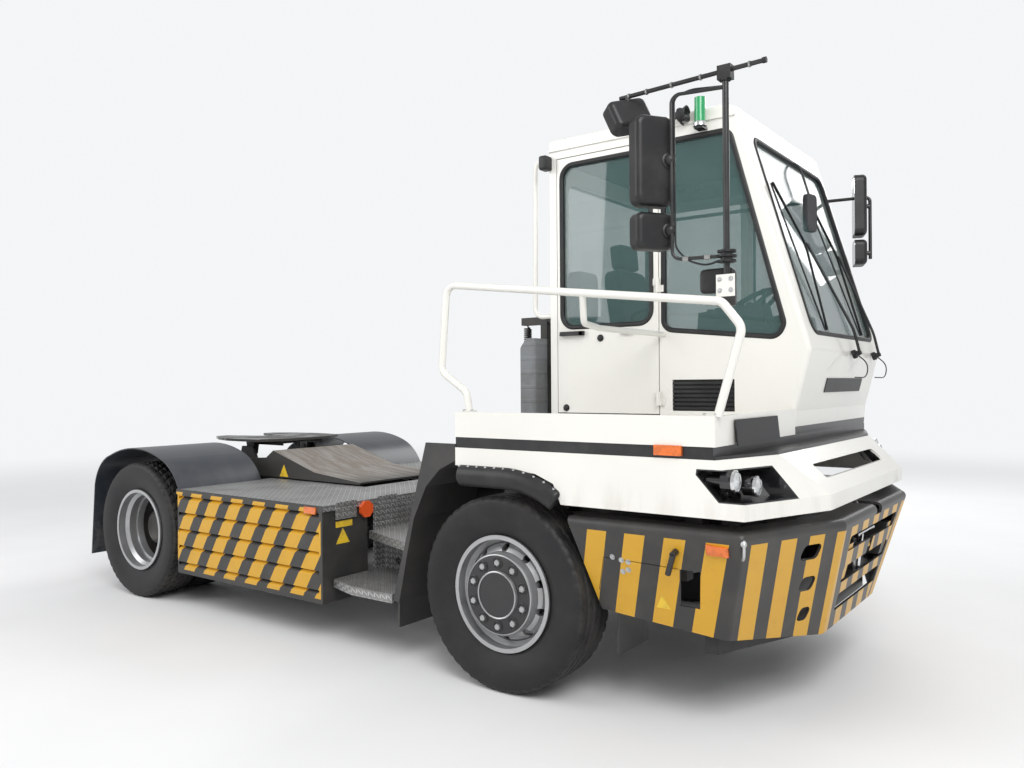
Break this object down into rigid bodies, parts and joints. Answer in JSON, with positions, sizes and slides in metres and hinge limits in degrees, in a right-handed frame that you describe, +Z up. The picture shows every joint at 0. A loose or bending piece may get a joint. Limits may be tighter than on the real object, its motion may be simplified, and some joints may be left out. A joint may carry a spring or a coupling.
{
  "type": "terminal tractor",
  "caption": "Terminal tractor: half-width cab beside a railed walkway, folded striped bumper, striped side boxes, steered front axle, twin rear wheels and a lifting fifth wheel.",
  "frame": {"origin": "on the ground under the middle of the vehicle's length and width", "axes": "+X forward, +Y to the vehicle's left, +Z up"},
  "size_m": [5.745, 2.6724, 3.15],
  "materials": {
    "cab_paint": "warm white gloss paint, lightly dusty",
    "black_paint": "satin black paint",
    "grey_paint": "dark grey paint with yellow slanted stripes",
    "chassis_paint": "matt dark chassis paint",
    "ramp_paint": "worn brownish grey paint",
    "tread_plate": "raised pattern tread plate",
    "tyre": "dusty black tyre rubber",
    "rim_paint": "silver wheel paint",
    "glass": "lightly tinted safety glass",
    "cab_trim": "grained dark cab trim",
    "seat_cover": "dark woven seat cover",
    "guard_plastic": "smooth blue-black plastic",
    "black_plastic": "black moulded plastic",
    "lamp_plastic": "clear coloured lamp lenses",
    "bare_steel": "bare worked steel",
    "rod_chrome": "polished cylinder rod",
    "greased_iron": "dark greasy cast iron"
  },
  "bodies": {
    "chassis": {"front_axle_beam": "chassis_paint", "leaf_springs": "chassis_paint", "rear_axle": "chassis_paint", "frame_rails": "chassis_paint", "cross_members": "chassis_paint", "cab_mounts": "chassis_paint", "engine_block": "chassis_paint", "propshaft": "chassis_paint", "front_bumper": "grey_paint", "tow_pin": "bare_steel", "lower_body": "cab_paint", "belt_frame": "black_paint", "walkway": "cab_paint", "arch_flares": "black_plastic", "splash_guards": "grey_paint", "cab_floor": "black_paint", "cab_side_right": "cab_paint", "cab_side_left": "cab_paint", "cab_rear_wall": "cab_paint", "cab_front": "cab_paint", "cab_roof": "cab_paint", "cab_glass": "glass", "vent_grille": "black_plastic", "seat": "seat_cover", "dashboard": "cab_trim", "handrails": "cab_paint", "mirror_frames": "black_paint", "mirror_heads": "black_plastic", "lamps": "lamp_plastic", "intake_tower": "black_plastic", "hose_carrier": "chassis_paint", "deck_plate": "tread_plate", "side_boxes": "grey_paint", "steps": "tread_plate", "rear_mudguards": "guard_plastic", "air_line": "black_plastic"},
    "knuckle_right": {"knuckle_right": "chassis_paint"},
    "knuckle_left": {"knuckle_left": "chassis_paint"},
    "track_rod": {"track_rod": "chassis_paint"},
    "front_wheel_right": {"front_tyre_right": "tyre", "front_wheel_right": "rim_paint"},
    "front_wheel_left": {"front_tyre_left": "tyre", "front_wheel_left": "rim_paint"},
    "rear_wheels_right": {"rear_tyres_right": "tyre", "rear_wheels_right": "rim_paint"},
    "rear_wheels_left": {"rear_tyres_left": "tyre", "rear_wheels_left": "rim_paint"},
    "steering_wheel": {"steering_wheel": "black_plastic"},
    "lift_frame": {"lift_frame": "ramp_paint"},
    "fifth_wheel": {"fifth_wheel": "greased_iron"},
    "lift_barrels": {"lift_barrels": "chassis_paint"},
    "lift_rods": {"lift_rods": "rod_chrome"},
    "door_right": {"door_right": "cab_paint", "door_glass_right": "glass"},
    "door_left": {"door_left": "cab_paint", "door_glass_left": "glass"}
  },
  "joints": [
    {"name": "steer_right", "type": "hinge", "parent": "chassis", "child": "knuckle_right", "pos_m": [1.3275, -0.95, 0.5], "axis": [0, 0, 1], "range_deg": [-35, 35]},
    {"name": "steer_left", "type": "hinge", "parent": "chassis", "child": "knuckle_left", "pos_m": [1.3275, 0.95, 0.5], "axis": [0, 0, 1], "range_deg": [-35.2, 35.2]},
    {"name": "track_rod_swing", "type": "hinge", "parent": "knuckle_right", "child": "track_rod", "pos_m": [1.1475, -0.95, 0.392], "axis": [0, 0, 1], "range_deg": [-35.2, 35.2]},
    {"name": "steering_wheel_turn", "type": "hinge", "parent": "chassis", "child": "steering_wheel", "pos_m": [1.9675, 0.525, 2.02], "axis": [-0.5501, 0, 0.8351], "range_deg": [-721, 721]},
    {"name": "spin_front_right", "type": "hinge", "parent": "knuckle_right", "child": "front_wheel_right", "pos_m": [1.3275, -1.09, 0.5], "axis": [0, 1, 0], "continuous": true},
    {"name": "spin_front_left", "type": "hinge", "parent": "knuckle_left", "child": "front_wheel_left", "pos_m": [1.3275, 1.09, 0.5], "axis": [0, 1, 0], "continuous": true},
    {"name": "spin_rear_right", "type": "hinge", "parent": "chassis", "child": "rear_wheels_right", "pos_m": [-2.0725, -0.9475, 0.5], "axis": [0, 1, 0], "continuous": true},
    {"name": "spin_rear_left", "type": "hinge", "parent": "chassis", "child": "rear_wheels_left", "pos_m": [-2.0725, 0.9475, 0.5], "axis": [0, 1, 0], "continuous": true},
    {"name": "lift", "type": "hinge", "parent": "chassis", "child": "lift_frame", "pos_m": [-0.6225, 0, 0.7], "axis": [0, 1, 0], "range_deg": [0, 16]},
    {"name": "fifth_wheel_rock", "type": "hinge", "parent": "lift_frame", "child": "fifth_wheel", "pos_m": [-1.9725, 0, 1.04], "axis": [0, 1, 0], "range_deg": [-12, 12]},
    {"name": "barrel_swing", "type": "hinge", "parent": "chassis", "child": "lift_barrels", "pos_m": [-1.3925, 0, 0.38], "axis": [0, 1, 0], "range_deg": [-0.1, 15.6]},
    {"name": "rod_slide", "type": "slide", "parent": "lift_barrels", "child": "lift_rods", "axis": [-0.4803, 0, 0.8771], "range_m": [-0.001, 0.234]},
    {"name": "door_right_swing", "type": "hinge", "parent": "chassis", "child": "door_right", "pos_m": [1.7255, -0.215, 2.135], "axis": [0, 0, 1], "range_deg": [0, 90]},
    {"name": "door_left_swing", "type": "hinge", "parent": "chassis", "child": "door_left", "pos_m": [1.7255, 1.265, 2.135], "axis": [0, 0, -1], "range_deg": [0, 90]}
  ],
  "couplings": [
    {"joint": "steer_left", "follows": "steer_right", "ratio": 1},
    {"joint": "track_rod_swing", "follows": "steer_right", "ratio": -1},
    {"joint": "steering_wheel_turn", "follows": "steer_right", "ratio": 20.571},
    {"joint": "barrel_swing", "follows": "lift", "ratio": 0.96203},
    {"joint": "rod_slide", "follows": "lift", "m_per_rad": 0.83084}
  ]
}
